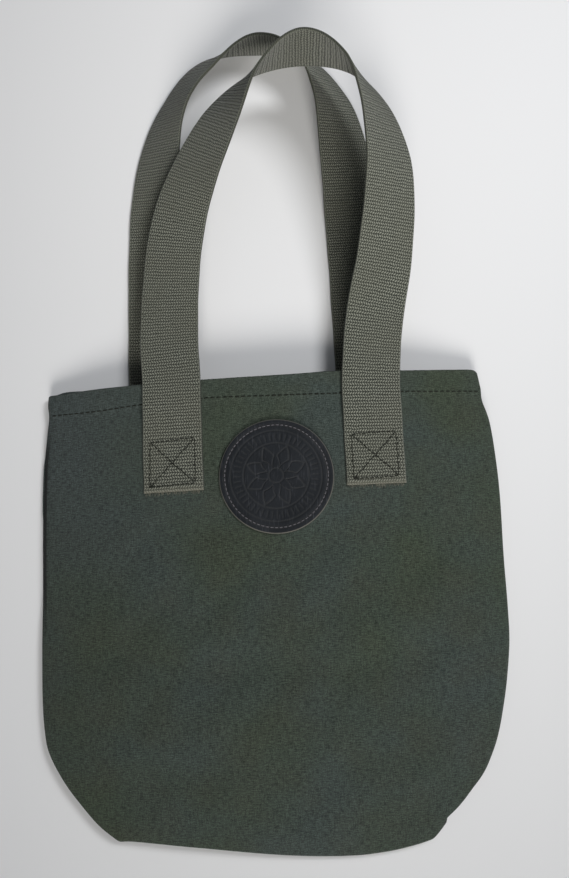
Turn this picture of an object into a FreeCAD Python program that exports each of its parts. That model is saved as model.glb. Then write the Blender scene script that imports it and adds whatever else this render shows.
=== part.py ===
"""Flat canvas tote bag with two webbing handles and a round leather patch.

The bag lies face up: +Z is up, +Y runs from the bottom fold to the mouth and on to the handles, and +X is to
the right of somebody who looks at the front. Sizes are millimetres. Everything is first laid out with y = 0
at the mouth edge, and moved at the end so that the origin is under the middle of the whole object.
"""
import FreeCAD
import Part
import math
import os

# ---- driving dimensions ---------------------------------------------------------------------------------
CANVAS = 0.9                # thickness of the canvas
WEBBING_WIDTH = 38.0        # 1 1/2 inch cotton webbing
WEBBING = 1.8               # thickness of the webbing
THREAD = 0.2                # how far a line of stitching stands proud
THREAD_WIDTH = 0.8
LEATHER = 2.0               # thickness of the patch
GAP = 0.4                   # free space between pieces that move apart

MOUTH_SLOPE = 0.018         # the mouth edge runs up slightly to the right
HEM_DEPTH = 14.0            # depth of the turned-in hem at the mouth
WALL = 4.0                  # rounded side edge of the front panel, before it begins to crown
TAB_END = -70.8             # lower end of the sewn handle tabs
TAB_TOP = -37.5             # where the webbing leaves its stitching
BOX_STITCH = 28.6           # side of the box-and-cross stitching
BOX_LOW = -66.8             # lower line of the box stitching
FRONT_TABS = (-58.8, 68.6)  # middle of each front tab
BACK_TABS = (-72.0, 67.0)   # middle of each back tab
BACK_EXIT = 8.0             # where the back handle becomes free, just past the mouth edge
PATCH_CENTRE = (6.2, -63.4)
PATCH_RADIUS = 36.0
PATCH_STITCH_INSET = 3.4
BINDING = 2.0               # thickness of the bound seam allowances inside the bag
BINDING_RANGE = (3.0, 11.0)  # how far inside the outline they lie

# The outline from the bottom fold to the mouth: y, left edge, right edge, and how far the front panel
# crowns between them. The boxed corners make the two slanting lower corners.
OUTLINE = (
    (-286.0, 15.0, 60.0, 1.5),
    (-284.0, -8.0, 74.0, 2.5),
    (-280.0, -42.0, 88.0, 4.0),
    (-275.0, -93.0, 96.0, 6.0),
    (-262.0, -110.0, 107.0, 9.0),
    (-245.0, -125.0, 121.0, 12.0),
    (-226.0, -138.0, 133.0, 14.5),
    (-212.0, -141.0, 137.5, 15.5),
    (-190.0, -142.5, 142.5, 16.5),
    (-160.0, -143.5, 146.5, 17.0),
    (-112.0, -144.7, 147.2, 16.0),
    (-78.0, -145.2, 148.6, 13.3),
    (-60.0, -145.5, 148.3, 12.5),
    (-35.0, -144.5, 147.0, 12.5),
    (-15.0, -143.0, 144.0, 12.5),
    (8.0, -141.0, 141.0, 12.5),
)

# The back panel lies flat, and steps up near the mouth to pass over its own handle tabs.
STEP_START = -112.0
STEP_END = -78.0
STEP_HEIGHT = 2.2

# Route of each free loop, from the left leg to the right leg: middle of the webbing, then the heading and
# the tilt of the line across it from its outer edge to its inner edge, in degrees. The inner edge rises
# along each leg, and both loops stand nearly on edge at the top.
FRONT_ROUTE = (
    ((-58.8, -36.7, 20.2), 0, 3),
    ((-59.3, 2.0, 20.2), 0, 3),
    ((-60.5, 38.0, 18.5), -2, 3),
    ((-58.5, 74.0, 18.5), -7, 5),
    ((-53.0, 108.0, 23.0), -18, 9),
    ((-40.0, 140.0, 32.5), -32, 19),
    ((-21.0, 171.0, 43.5), -43, 34),
    ((1.0, 197.0, 51.0), -60, 61),
    ((32.0, 211.0, 53.5), -84, 83),
    ((62.0, 200.0, 52.5), -118, 67),
    ((78.6, 174.0, 49.0), -152, 49),
    ((86.0, 140.0, 45.0), -166, 33),
    ((85.4, 105.0, 37.5), -175, 21),
    ((80.4, 70.0, 28.5), -181, 12),
    ((73.4, 36.0, 22.0), -182, 5),
    ((69.4, 2.0, 19.7), -180, 4),
    ((68.6, -36.7, 19.7), -180, 4),
)
BACK_ROUTE = (
    ((-72.0, 8.6, 1.2), 0, 0),
    ((-72.4, 48.0, 1.4), -1, 0),
    ((-72.3, 89.0, 1.8), -3, 1),
    ((-71.0, 129.0, 6.0), -8, 13),
    ((-67.0, 168.0, 12.5), -18, 33),
    ((-55.5, 203.0, 16.0), -34, 45),
    ((-33.0, 233.0, 15.5), -52, 46),
    ((3.0, 245.0, 18.4), -88, 69),
    ((36.0, 236.0, 16.8), -122, 57),
    ((54.5, 205.0, 13.6), -153, 40),
    ((62.0, 167.0, 7.5), -167, 18),
    ((65.0, 127.0, 2.2), -175, 3),
    ((66.0, 87.0, 1.4), -178, 0),
    ((66.7, 48.0, 1.4), -179, 0),
    ((67.0, 8.6, 1.2), -180, 0),
)
STEPS_PER_STATION = 3


# ---- the bag's own surfaces -----------------------------------------------------------------------------
def mouth_y(x):
    return MOUTH_SLOPE * x


def back_top(y):
    """Height of the inner face of the back panel at y."""
    run = (y - STEP_START) / (STEP_END - STEP_START)
    return CANVAS + STEP_HEIGHT * min(max(run, 0.0), 1.0)


def prism(points, low, high):
    corners = [FreeCAD.Vector(x, y, low) for x, y in points]
    face = Part.Face(Part.makePolygon(corners + corners[:1]))
    return face.extrude(FreeCAD.Vector(0, 0, high - low))


def slab(x0, x1, y0, y1):
    return prism([(x0, y0), (x1, y0), (x1, y1), (x0, y1)], -10, 100)


def outline_prism(inset=0.0):
    """The bag's outline as a tall solid, drawn in by inset and cut along the mouth edge."""
    left = [(x_left, y) for y, x_left, x_right, crown in OUTLINE]
    right = [(x_right, y) for y, x_left, x_right, crown in OUTLINE]
    corners = [FreeCAD.Vector(x, y, -10) for x, y in left + right[::-1]]
    wire = Part.makePolygon(corners + corners[:1])
    if inset:
        wire = wire.makeOffset2D(-inset)
    solid = Part.Face(wire).extrude(FreeCAD.Vector(0, 0, 110))
    return solid.common(mouth_strip(inset, 400))


def mouth_strip(near, far):
    """All that lies between near and far below the mouth edge, measured along the bag."""
    x = 200
    return prism([(-x, mouth_y(-x) - far), (x, mouth_y(x) - far),
                  (x, mouth_y(x) - near), (-x, mouth_y(-x) - near)], -10, 100)


def dome_section(station, grow):
    """Cross-section of everything under the front panel's outer face, grown outwards by grow."""
    y, x_left, x_right, crown = station
    y -= grow if y < -200 else 0.0
    base = back_top(y) + GAP
    left = x_left - grow
    right = x_right + grow
    middle = (left + right) / 2
    half = (right - left) / 2 - 1.2
    top = []
    for i in range(9):
        across = -1 + 2 * i / 8
        rise = crown * (1 - abs(across) ** 2.5)
        top.append(FreeCAD.Vector(middle + half * across, y, base + WALL + grow + rise))
    curve = Part.BSplineCurve()
    curve.interpolate(top)
    low_left = FreeCAD.Vector(left, y, base)
    low_right = FreeCAD.Vector(right, y, base)
    return Part.Wire([
        Part.LineSegment(low_left, top[0]).toShape(),
        curve.toShape(),
        Part.LineSegment(top[-1], low_right).toShape(),
        Part.LineSegment(low_right, low_left).toShape(),
    ])


domes = {}


def dome(grow):
    if grow not in domes:
        sections = [dome_section(station, grow) for station in OUTLINE]
        domes[grow] = Part.makeLoft(sections, True, True)
    return domes[grow]


def front_layer(region, low, high):
    """A layer over the front panel's outer face: region in plan, between two heights above the face."""
    return region.common(dome(high)).cut(dome(low))


def back_layer(region, low, high):
    """A layer on the back panel's inner face: region in plan, between two heights above that face."""
    ys = (-300.0, STEP_START, STEP_END, 20.0)
    outline = [FreeCAD.Vector(-200, y, back_top(y) + low) for y in ys]
    outline += [FreeCAD.Vector(-200, y, back_top(y) + high) for y in reversed(ys)]
    face = Part.Face(Part.makePolygon(outline + outline[:1]))
    return region.common(face.extrude(FreeCAD.Vector(400, 0, 0)))


# ---- bag pieces -----------------------------------------------------------------------------------------
def front_panel():
    """Thin domed panel with its side and bottom edges rolled down to the back panel."""
    return dome(0.0).cut(dome(-CANVAS)).common(outline_prism())


def front_hem_facing():
    region = mouth_strip(0, HEM_DEPTH)
    return front_layer(region, -2 * CANVAS, -CANVAS).common(slab(-140, 140, -60, 20))


def hem_line():
    return mouth_strip(HEM_DEPTH - 1.5, HEM_DEPTH - 1.5 + THREAD_WIDTH).common(slab(-134, 134, -60, 20))


def back_panel():
    return back_layer(outline_prism(), -CANVAS, 0)


def back_hem_facing():
    region = mouth_strip(0, HEM_DEPTH).common(slab(-134, 134, -60, 20))
    return back_layer(region, 0, CANVAS)


def seam_bindings():
    """The bound seam allowances inside the outline, split where the real seams meet."""
    near, far = BINDING_RANGE
    ring = outline_prism(near).cut(outline_prism(far))
    regions = {
        "left_side_seam_binding": slab(-160, 0, -214, -18.5),
        "right_side_seam_binding": slab(0, 160, -214, -14),
        "left_corner_seam_binding": slab(-160, -78, -300, -214.5),
        "right_corner_seam_binding": slab(82, 160, -300, -214.5),
        "bottom_seam_binding": slab(-77.5, 81.5, -300, -255),
    }
    return {name: back_layer(ring.common(region), 0, BINDING) for name, region in regions.items()}


def tab_region(x):
    half = WEBBING_WIDTH / 2
    return slab(x - half, x + half, TAB_END, TAB_TOP)


def box_stitch(x, low, high):
    """The square and the cross that hold one tab."""
    half = BOX_STITCH / 2
    middle = BOX_LOW + half
    side = THREAD_WIDTH / 2
    x0, x1 = x - half, x + half
    y0, y1 = middle - half, middle + half

    def line(xa, ya, xb, yb, across_x, across_y):
        corners = [(xa - across_x, ya - across_y), (xb - across_x, yb - across_y),
                   (xb + across_x, yb + across_y), (xa + across_x, ya + across_y)]
        return prism(corners, low, high)

    strokes = [
        line(x0, y0 - side, x0, y1 + side, side, 0),
        line(x1, y0 - side, x1, y1 + side, side, 0),
        line(x0, y0, x1, y0, 0, side),
        line(x0, y1, x1, y1, 0, side),
        line(x0, y0, x1, y1, 0, side),
        line(x0, y1, x1, y0, 0, side),
    ]
    return strokes[0].fuse(strokes[1:])


def disc(radius):
    x, y = PATCH_CENTRE
    return Part.makeCylinder(radius, 110, FreeCAD.Vector(x, y, -10))


def back_tab(x):
    half = WEBBING_WIDTH / 2
    return prism([(x - half, TAB_END), (x + half, TAB_END), (x + half, BACK_EXIT), (x - half, BACK_EXIT)],
                 THREAD, THREAD + WEBBING)


# ---- handles --------------------------------------------------------------------------------------------
def smooth(values, position):
    """Catmull-Rom value between the entries of a list."""
    i = min(int(position), len(values) - 2)
    t = position - i
    a = values[max(i - 1, 0)]
    b = values[i]
    c = values[i + 1]
    d = values[min(i + 2, len(values) - 1)]
    return b + 0.5 * t * (c - a + t * (2 * a - 5 * b + 4 * c - d + t * (3 * (b - c) + d - a)))


def strap_frame(route, position):
    """Middle of the webbing and the unit vector across it, at a position along the route."""
    centres = [station[0] for station in route]
    middle = FreeCAD.Vector(*[smooth([centre[axis] for centre in centres], position) for axis in range(3)])
    heading = math.radians(smooth([station[1] for station in route], position))
    tilt = math.radians(smooth([station[2] for station in route], position))
    level = math.cos(tilt)
    across = FreeCAD.Vector(math.cos(heading) * level, math.sin(heading) * level, math.sin(tilt))
    return middle, across


def strap(route):
    """Flat webbing along a route, as one solid of constant width and thickness."""
    count = (len(route) - 1) * STEPS_PER_STATION
    frames = [strap_frame(route, i / STEPS_PER_STATION) for i in range(count + 1)]
    sections = []
    for i, (middle, across) in enumerate(frames):
        ahead = frames[min(i + 1, count)][0] - frames[max(i - 1, 0)][0]
        ahead.normalize()
        across = across - ahead * across.dot(ahead)
        across.normalize()
        normal = across.cross(ahead)
        side = across * (WEBBING_WIDTH / 2)
        face = normal * (WEBBING / 2)
        corners = [middle - side - face, middle + side - face, middle + side + face, middle - side + face]
        sections.append(Part.makePolygon(corners + corners[:1]))
    return Part.makeLoft(sections, True, True)


# ---- assembly -------------------------------------------------------------------------------------------
def build():
    parts = {
        "front_panel": front_panel(),
        "back_panel": back_panel(),
        "front_hem_facing": front_hem_facing(),
        "back_hem_facing": back_hem_facing(),
        "front_hem_stitching": front_layer(hem_line(), 0.0, THREAD),
        "back_hem_stitching": back_layer(hem_line(), CANVAS, CANVAS + THREAD),
        "leather_patch": front_layer(disc(PATCH_RADIUS), 0.0, LEATHER),
        "front_handle_loop": strap(FRONT_ROUTE),
        "back_handle_loop": strap(BACK_ROUTE),
    }
    ring_radius = PATCH_RADIUS - PATCH_STITCH_INSET
    ring = disc(ring_radius).cut(disc(ring_radius - THREAD_WIDTH))
    parts["patch_stitching"] = front_layer(ring, LEATHER, LEATHER + THREAD)
    parts.update(seam_bindings())
    front_boxes = []
    back_boxes = []
    for side, front_x, back_x in zip(("left", "right"), FRONT_TABS, BACK_TABS):
        parts[f"front_{side}_tab"] = front_layer(tab_region(front_x), 0.0, WEBBING)
        parts[f"back_{side}_tab"] = back_tab(back_x)
        front_boxes.append(front_layer(box_stitch(front_x, -10, 100), WEBBING, WEBBING + THREAD))
        back_boxes.append(box_stitch(back_x, 0.0, THREAD))
    parts["front_tab_stitching"] = Part.makeCompound(front_boxes)
    parts["back_tab_stitching"] = Part.makeCompound(back_boxes)
    return parts


def main():
    parts = build()
    whole = Part.makeCompound(list(parts.values())).BoundBox
    shift = FreeCAD.Vector(-(whole.XMin + whole.XMax) / 2, -(whole.YMin + whole.YMax) / 2, -whole.ZMin)
    size = (whole.XLength, whole.YLength, whole.ZLength)
    print("shift", [round(value, 3) for value in shift], "size", [round(value, 2) for value in size])
    os.makedirs("parts", exist_ok=True)
    for name, shape in parts.items():
        shape.translate(shift)
        print(name, "valid", shape.isValid(), "solids", len(shape.Solids), "volume", round(shape.Volume, 1))
        shape.exportStep(f"parts/{name}.step")


main()
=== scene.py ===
"""Looks of a flat-lying canvas tote bag with two webbing handles and a round leather patch.

Lengths are millimetres until to_frame() turns them into metres of the row frame. In millimetres the layout
is that of the CAD source: y = 0 at the mouth edge, +Y towards the handles, +X to the right, z = 0 on the
floor.
"""
import math

import bmesh
import bpy
import numpy as np
from mathutils import Matrix, Vector


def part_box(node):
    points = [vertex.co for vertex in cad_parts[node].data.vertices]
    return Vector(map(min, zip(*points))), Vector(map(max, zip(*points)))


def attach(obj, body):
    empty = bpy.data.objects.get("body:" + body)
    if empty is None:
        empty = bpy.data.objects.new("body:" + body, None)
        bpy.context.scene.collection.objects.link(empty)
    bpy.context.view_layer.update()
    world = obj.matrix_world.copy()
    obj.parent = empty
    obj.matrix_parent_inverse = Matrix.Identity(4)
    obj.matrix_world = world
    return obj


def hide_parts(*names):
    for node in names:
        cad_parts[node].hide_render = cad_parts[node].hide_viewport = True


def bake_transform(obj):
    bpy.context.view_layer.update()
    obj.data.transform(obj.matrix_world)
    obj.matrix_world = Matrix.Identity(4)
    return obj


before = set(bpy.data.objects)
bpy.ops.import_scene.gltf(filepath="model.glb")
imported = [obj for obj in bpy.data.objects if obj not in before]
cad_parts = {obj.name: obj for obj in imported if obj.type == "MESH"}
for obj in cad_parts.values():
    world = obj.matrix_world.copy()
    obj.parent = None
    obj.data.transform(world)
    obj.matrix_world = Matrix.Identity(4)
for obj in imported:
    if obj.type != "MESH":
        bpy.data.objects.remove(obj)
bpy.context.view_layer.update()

MM = 0.001
CANVAS = 0.9                    # thickness of one layer
HEM = 1.9                       # two layers of canvas at the mouth
WEBBING_WIDTH = 38.0
WEBBING = 1.8                   # thickness
WEBBING_COLUMN = 1.65           # pitch of the webbing's yarn columns
BOX_LOW = -66.8                 # lower side of the squares that sew the tabs on
BOX_STITCH = 28.6               # side of those squares
FRONT_TABS = (-58.8, 68.6)      # middle of each tab
BACK_TABS = (-72.0, 67.0)
PATCH_CENTRE = (6.2, -63.4)
PATCH_RADIUS = 36.0
PATCH_STITCH_RADIUS = 32.3
LEATHER = 2.0
EDGE = 4.0                      # height of the side folds' outermost line
TOP_EDGE = 7.4                  # height at which the front panel leaves the side folds
BAG_CENTRE = (2.0, -140.0)      # a point well inside the outline
STEP_SPAN = (-112.0, -78.0)     # the back panel steps up here to pass over its tabs
STEP_HEIGHT = 2.2
FLOOR_GAP = 0.05

patch_low, patch_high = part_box("leather_patch")
patch_middle = (patch_low + patch_high) / 2 / MM
SHIFT = np.array([patch_middle.x - PATCH_CENTRE[0], patch_middle.y - PATCH_CENTRE[1], 0.0])


def to_frame(points):
    return (np.asarray(points, float) + SHIFT) * MM


# ---- camera ---------------------------------------------------------------------------------------------
CAMERA_AT = (12.333, -112.641, 429.749)
CAMERA_SENSOR = 36.0
CAMERA_LENS = 27.0
CAMERA_TILT = math.radians(10.032)
CAMERA_YAW = math.radians(0.2)
CAMERA_ROLL = math.radians(-2.448)


def make_camera():
    data = bpy.data.cameras.new("camera")
    data.sensor_width = CAMERA_SENSOR
    data.lens = CAMERA_LENS
    camera = bpy.data.objects.new("camera", data)
    bpy.context.scene.collection.objects.link(camera)
    turn = Matrix.Rotation(CAMERA_YAW, 3, "Z")
    forward = turn @ Vector((0, math.sin(CAMERA_TILT), -math.cos(CAMERA_TILT)))
    up = turn @ Vector((0, math.cos(CAMERA_TILT), math.sin(CAMERA_TILT)))
    right = turn @ Vector((1, 0, 0))
    rolled_right = right * math.cos(CAMERA_ROLL) + up * math.sin(CAMERA_ROLL)
    rolled_up = up * math.cos(CAMERA_ROLL) - right * math.sin(CAMERA_ROLL)
    axes = Matrix((rolled_right, rolled_up, -forward)).transposed()
    camera.matrix_world = Matrix.Translation(Vector(to_frame(CAMERA_AT))) @ axes.to_4x4()
    bpy.context.scene.camera = camera


# ---- node materials -------------------------------------------------------------------------------------
class Shader:
    """Builds one procedural material from the "cloth" coordinates (s, t, wear) stored on the meshes."""

    # The third channel of "cloth" marks worn, paler cloth and also painted light: painted shade where it is
    # below zero, and a painted highlight on the leather patch.
    def __init__(self, name):
        self.material = bpy.data.materials.new(name)
        self.material.use_nodes = True
        self.tree = self.material.node_tree
        self.surface = next(n for n in self.tree.nodes if n.type == "BSDF_PRINCIPLED")
        attribute = self.node("ShaderNodeAttribute", attribute_name="cloth")
        self.place = attribute.outputs["Vector"]
        split = self.node("ShaderNodeSeparateXYZ")
        self.join(self.place, split.inputs[0])
        self.s, self.t, self.wear_and_painted_light = split.outputs

    def node(self, kind, **settings):
        made = self.tree.nodes.new(kind)
        for key, value in settings.items():
            setattr(made, key, value)
        return made

    def join(self, value, socket):
        if isinstance(value, bpy.types.NodeSocket):
            self.tree.links.new(value, socket)
        else:
            socket.default_value = value

    def math(self, operation, *values):
        made = self.node("ShaderNodeMath", operation=operation)
        for value, socket in zip(values, made.inputs):
            self.join(value, socket)
        return made.outputs[0]

    def remap(self, value, low, high, to_low=0.0, to_high=1.0):
        made = self.node("ShaderNodeMapRange")
        for given, socket in zip((value, low, high, to_low, to_high), made.inputs):
            self.join(given, socket)
        return made.outputs[0]

    def wave(self, value, pitch):
        return self.math("SINE", self.math("MULTIPLY", value, 2 * math.pi / pitch))

    def dimmed(self, colour, level):
        made = self.node("ShaderNodeVectorMath", operation="SCALE")
        self.join(colour, made.inputs[0])
        self.join(level, made.inputs["Scale"])
        return made.outputs[0]

    def scaled(self, x, y):
        made = self.node("ShaderNodeVectorMath", operation="MULTIPLY")
        self.join(self.place, made.inputs[0])
        made.inputs[1].default_value = (x, y, 0.0)
        return made.outputs[0]

    def noise(self, x, y, detail=2.0, offset=0.0):
        """Soft noise with x and y features to the millimetre."""
        made = self.node("ShaderNodeTexNoise")
        shifted = self.node("ShaderNodeVectorMath", operation="ADD")
        self.join(self.scaled(x, y), shifted.inputs[0])
        shifted.inputs[1].default_value = (offset, offset * 0.7, offset * 1.3)
        self.join(shifted.outputs[0], made.inputs["Vector"])
        made.inputs["Scale"].default_value = 1.0
        made.inputs["Detail"].default_value = detail
        return made.outputs["Fac"]

    def ramp(self, value, *stops):
        made = self.node("ShaderNodeValToRGB")
        elements = made.color_ramp.elements
        while len(elements) < len(stops):
            elements.new(0.5)
        for element, (position, colour) in zip(elements, stops):
            element.position = position
            element.color = (*colour, 1.0)
        self.join(value, made.inputs[0])
        return made.outputs[0]

    def mix(self, share, first, second, blend="MIX"):
        made = self.node("ShaderNodeMix", data_type="RGBA", blend_type=blend)
        self.join(share, made.inputs[0])
        for value, socket in ((first, made.inputs[6]), (second, made.inputs[7])):
            self.join(value if isinstance(value, bpy.types.NodeSocket) else (*value, 1.0), socket)
        return made.outputs[2]

    def finish(self, colour, height, relief, roughness=None, **fixed):
        """Links colour and a bump of so many millimetres, and sets plain numbers on the shader."""
        self.join(colour, self.surface.inputs["Base Color"])
        bump = self.node("ShaderNodeBump")
        bump.inputs["Strength"].default_value = 1.0
        bump.inputs["Distance"].default_value = relief * MM
        self.join(height, bump.inputs["Height"])
        self.join(bump.outputs[0], self.surface.inputs["Normal"])
        if roughness is not None:
            self.join(roughness, self.surface.inputs["Roughness"])
        for key, value in fixed.items():
            self.surface.inputs[key.replace("_", " ")].default_value = value
        return self.material


def canvas_material():
    """Dense plain-woven cotton duck: crossing threads, uneven yarns, broad random tone, paler worn folds,
    painted light and shade.
    """
    shader = Shader("olive_canvas")
    pitch = 0.62
    crossing = shader.math("MULTIPLY", shader.wave(shader.s, pitch), shader.wave(shader.t, pitch))
    weave = shader.math("MULTIPLY_ADD", crossing, 0.5, 0.5)
    weft_yarns = shader.noise(0.28, 1.75, 3.0)
    warp_yarns = shader.noise(1.75, 0.30, 3.0, 31.0)
    yarns = shader.math("ADD", weft_yarns, shader.math("MULTIPLY", warp_yarns, 0.6))
    fuzz = shader.noise(1.6, 1.6, 3.0, 7.0)
    height = shader.math("ADD", shader.math("MULTIPLY", weave, 0.5), yarns)
    height = shader.math("ADD", height, shader.math("MULTIPLY", fuzz, 0.6))
    broad = shader.noise(0.012, 0.012, 2.0, 3.0)
    patches = shader.noise(0.045, 0.045, 3.0, 11.0)
    colour = shader.ramp(broad, (0.36, (0.046, 0.060, 0.042)), (0.64, (0.049, 0.063, 0.057)))
    colour = shader.mix(shader.remap(patches, 0.40, 0.7, 0.0, 0.35), colour, (0.052, 0.056, 0.040))
    # Painted light: a paler, bluer cool light laid over the upper left of the cloth, by position.
    cool_light_across = shader.remap(shader.s, -30.0, -120.0)
    cool_light_along = shader.remap(shader.t, -170.0, -60.0)
    painted_cool_light = shader.math("MULTIPLY", shader.math("MULTIPLY", cool_light_across, cool_light_along), 0.75)
    colour = shader.mix(painted_cool_light, colour, (0.055, 0.067, 0.069))
    tone = shader.remap(yarns, 0.60, 1.00, 0.58, 1.42)
    grain = shader.remap(fuzz, 0.32, 0.68, 0.66, 1.34)
    # Painted shade: where the third cloth channel is below zero the colour is darkened, down to 0.15 of
    # itself, on the steep front flanks and on the back hem's rim at the mouth's left end.
    painted_shade = shader.remap(shader.wear_and_painted_light, -1.0, 0.0, 0.15, 1.0)
    level = shader.math("MULTIPLY", shader.math("MULTIPLY", tone, grain), painted_shade)
    colour = shader.dimmed(colour, level)
    wear_and_highlight = shader.math("MAXIMUM", shader.wear_and_painted_light, 0.0)
    worn = shader.math("MULTIPLY", wear_and_highlight, shader.remap(fuzz, 0.35, 0.65, 0.3, 1.0))
    colour = shader.mix(worn, colour, (0.082, 0.092, 0.076))
    return shader.finish(colour, height, 0.30, Roughness=0.92, Sheen_Weight=0.04, Sheen_Roughness=0.55,
                         Specular_IOR_Level=0.10)


def webbing_material():
    """Heavy cotton webbing: columns of short slanting yarns that lean left and right by turns."""
    shader = Shader("olive_webbing")
    row = 2.0
    border_cord = 1.05
    border_pick = 1.25
    edge = shader.math("ABSOLUTE", shader.s)
    selvage = shader.remap(edge, 18.0, 18.3)
    wobble = shader.math("SUBTRACT", shader.noise(0.30, 0.30, 2.0, 5.0), 0.5)
    along = shader.math("MULTIPLY_ADD", wobble, 1.6, shader.t)
    turns = shader.math("PINGPONG", along, row)
    lean = shader.math("MULTIPLY_ADD", turns, 0.72, shader.s)
    ridges = shader.math("ABSOLUTE", shader.wave(lean, 2 * WEBBING_COLUMN))
    ridges = shader.math("MULTIPLY_ADD", ridges, 0.90, 0.10)
    grains = shader.math("ABSOLUTE", shader.wave(along, 2 * row))
    grains = shader.math("MULTIPLY_ADD", shader.math("POWER", grains, 0.8), 0.80, 0.20)
    body = shader.math("MULTIPLY", ridges, grains)
    cords = shader.math("ABSOLUTE", shader.wave(shader.s, 2 * border_cord))
    border = shader.math("MULTIPLY_ADD", cords, 0.40, 0.22)
    border = shader.math("MULTIPLY_ADD", shader.wave(shader.t, border_pick), 0.14, border)
    blended = shader.node("ShaderNodeMix", data_type="FLOAT")
    for value, number in ((selvage, 0), (body, 2), (border, 3)):
        shader.join(value, blended.inputs[number])
    pattern = blended.outputs[0]
    fuzz = shader.noise(1.9, 1.9, 3.0, 17.0)
    broad = shader.noise(0.05, 0.03, 2.0, 23.0)
    # The ramp paints the low gaps between the yarns near black and the ridges pale: the yarns' tones
    # together with painted shade in the gaps.
    colour = shader.ramp(pattern, (0.12, (0.009, 0.011, 0.009)), (0.45, (0.062, 0.067, 0.053)),
                         (0.88, (0.240, 0.248, 0.204)))
    colour = shader.mix(shader.remap(broad, 0.35, 0.65, 0.0, 0.20), colour, (0.090, 0.090, 0.066))
    colour = shader.dimmed(colour, shader.remap(fuzz, 0.3, 0.7, 0.82, 1.18))
    colour = shader.mix(shader.wear_and_painted_light, colour, (0.155, 0.152, 0.120))
    height = shader.math("MULTIPLY_ADD", fuzz, 0.25, pattern)
    return shader.finish(colour, height, 0.42, Roughness=0.86, Sheen_Weight=0.15, Sheen_Roughness=0.5,
                         Specular_IOR_Level=0.2)


def leather_material():
    """Nearly black oiled leather with fine pores, faint drawn grain, and a pale rim and pale pressed lines
    painted as highlights.
    """
    shader = Shader("black_leather")
    pores = shader.node("ShaderNodeTexVoronoi", feature="DISTANCE_TO_EDGE")
    shader.join(shader.scaled(1.35, 1.1), pores.inputs["Vector"])
    pores.inputs["Scale"].default_value = 1.0
    grain = shader.math("MINIMUM", pores.outputs["Distance"], 0.25)
    drawn = shader.noise(1.5, 0.12, 3.0, 9.0)
    fine = shader.noise(3.4, 3.4, 3.0, 2.0)
    broad = shader.noise(0.06, 0.06, 2.0, 4.0)
    height = shader.math("MULTIPLY_ADD", grain, 2.0, shader.math("MULTIPLY", drawn, 0.8))
    height = shader.math("MULTIPLY_ADD", fine, 0.35, height)
    colour = shader.ramp(broad, (0.35, (0.0060, 0.0078, 0.0105)), (0.65, (0.0092, 0.0112, 0.0148)))
    streaks = shader.remap(drawn, 0.58, 0.72, 0.0, 0.60)
    colour = shader.mix(streaks, colour, (0.042, 0.045, 0.053))
    # The third cloth channel paints the rim pale and the pressed lines faintly pale: a painted highlight.
    colour = shader.mix(shader.wear_and_painted_light, colour, (0.115, 0.112, 0.098))
    roughness = shader.remap(fine, 0.3, 0.7, 0.52, 0.70)
    return shader.finish(colour, height, 0.07, roughness, Specular_IOR_Level=0.22)


def thread_material(name, dark, light):
    """Twisted sewing thread: s runs along the stitch, t around it."""
    shader = Shader(name)
    twist = shader.math("ADD", shader.math("MULTIPLY", shader.s, 7.0), shader.t)
    ply = shader.math("MULTIPLY_ADD", shader.math("SINE", twist), 0.5, 0.5)
    lint = shader.noise(3.0, 3.0, 2.0, 13.0)
    # The colour follows the twist: pale on the crests and dark in the grooves between the plies, which is
    # painted shade.
    colour = shader.ramp(shader.math("MULTIPLY_ADD", lint, 0.4, ply), (0.2, dark), (1.1, light))
    return shader.finish(colour, ply, 0.08, Roughness=0.8, Specular_IOR_Level=0.15)


def tape_material():
    """Ribbed cotton binding tape folded over the seam allowances."""
    shader = Shader("binding_tape")
    pitch = 0.9
    ribs = shader.math("MULTIPLY_ADD", shader.wave(shader.t, pitch), 0.5, 0.5)
    lint = shader.noise(1.4, 1.4, 3.0, 19.0)
    # The colour follows the ribs: darker in their troughs, which is painted shade.
    colour = shader.ramp(shader.math("MULTIPLY_ADD", lint, 0.6, ribs), (0.2, (0.030, 0.032, 0.026)),
                         (1.2, (0.062, 0.064, 0.052)))
    return shader.finish(colour, ribs, 0.12, Roughness=0.9, Sheen_Weight=0.2)


def floor_material():
    """Plain pale matt floor."""
    material = bpy.data.materials.new("pale_floor")
    material.use_nodes = True
    tree = material.node_tree
    surface = next(n for n in tree.nodes if n.type == "BSDF_PRINCIPLED")
    surface.inputs["Base Color"].default_value = (0.76, 0.76, 0.77, 1.0)
    surface.inputs["Roughness"].default_value = 0.95
    surface.inputs["Specular IOR Level"].default_value = 0.1
    return material


CANVAS_LOOK = canvas_material()
WEBBING_LOOK = webbing_material()
LEATHER_LOOK = leather_material()
DARK_THREAD = thread_material("dark_thread", (0.008, 0.009, 0.007), (0.022, 0.024, 0.018))
GREY_THREAD = thread_material("grey_thread", (0.060, 0.058, 0.066), (0.150, 0.145, 0.158))
TAPE_LOOK = tape_material()


# ---- mesh building --------------------------------------------------------------------------------------
WELD = 2e-6                     # metres


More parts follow.
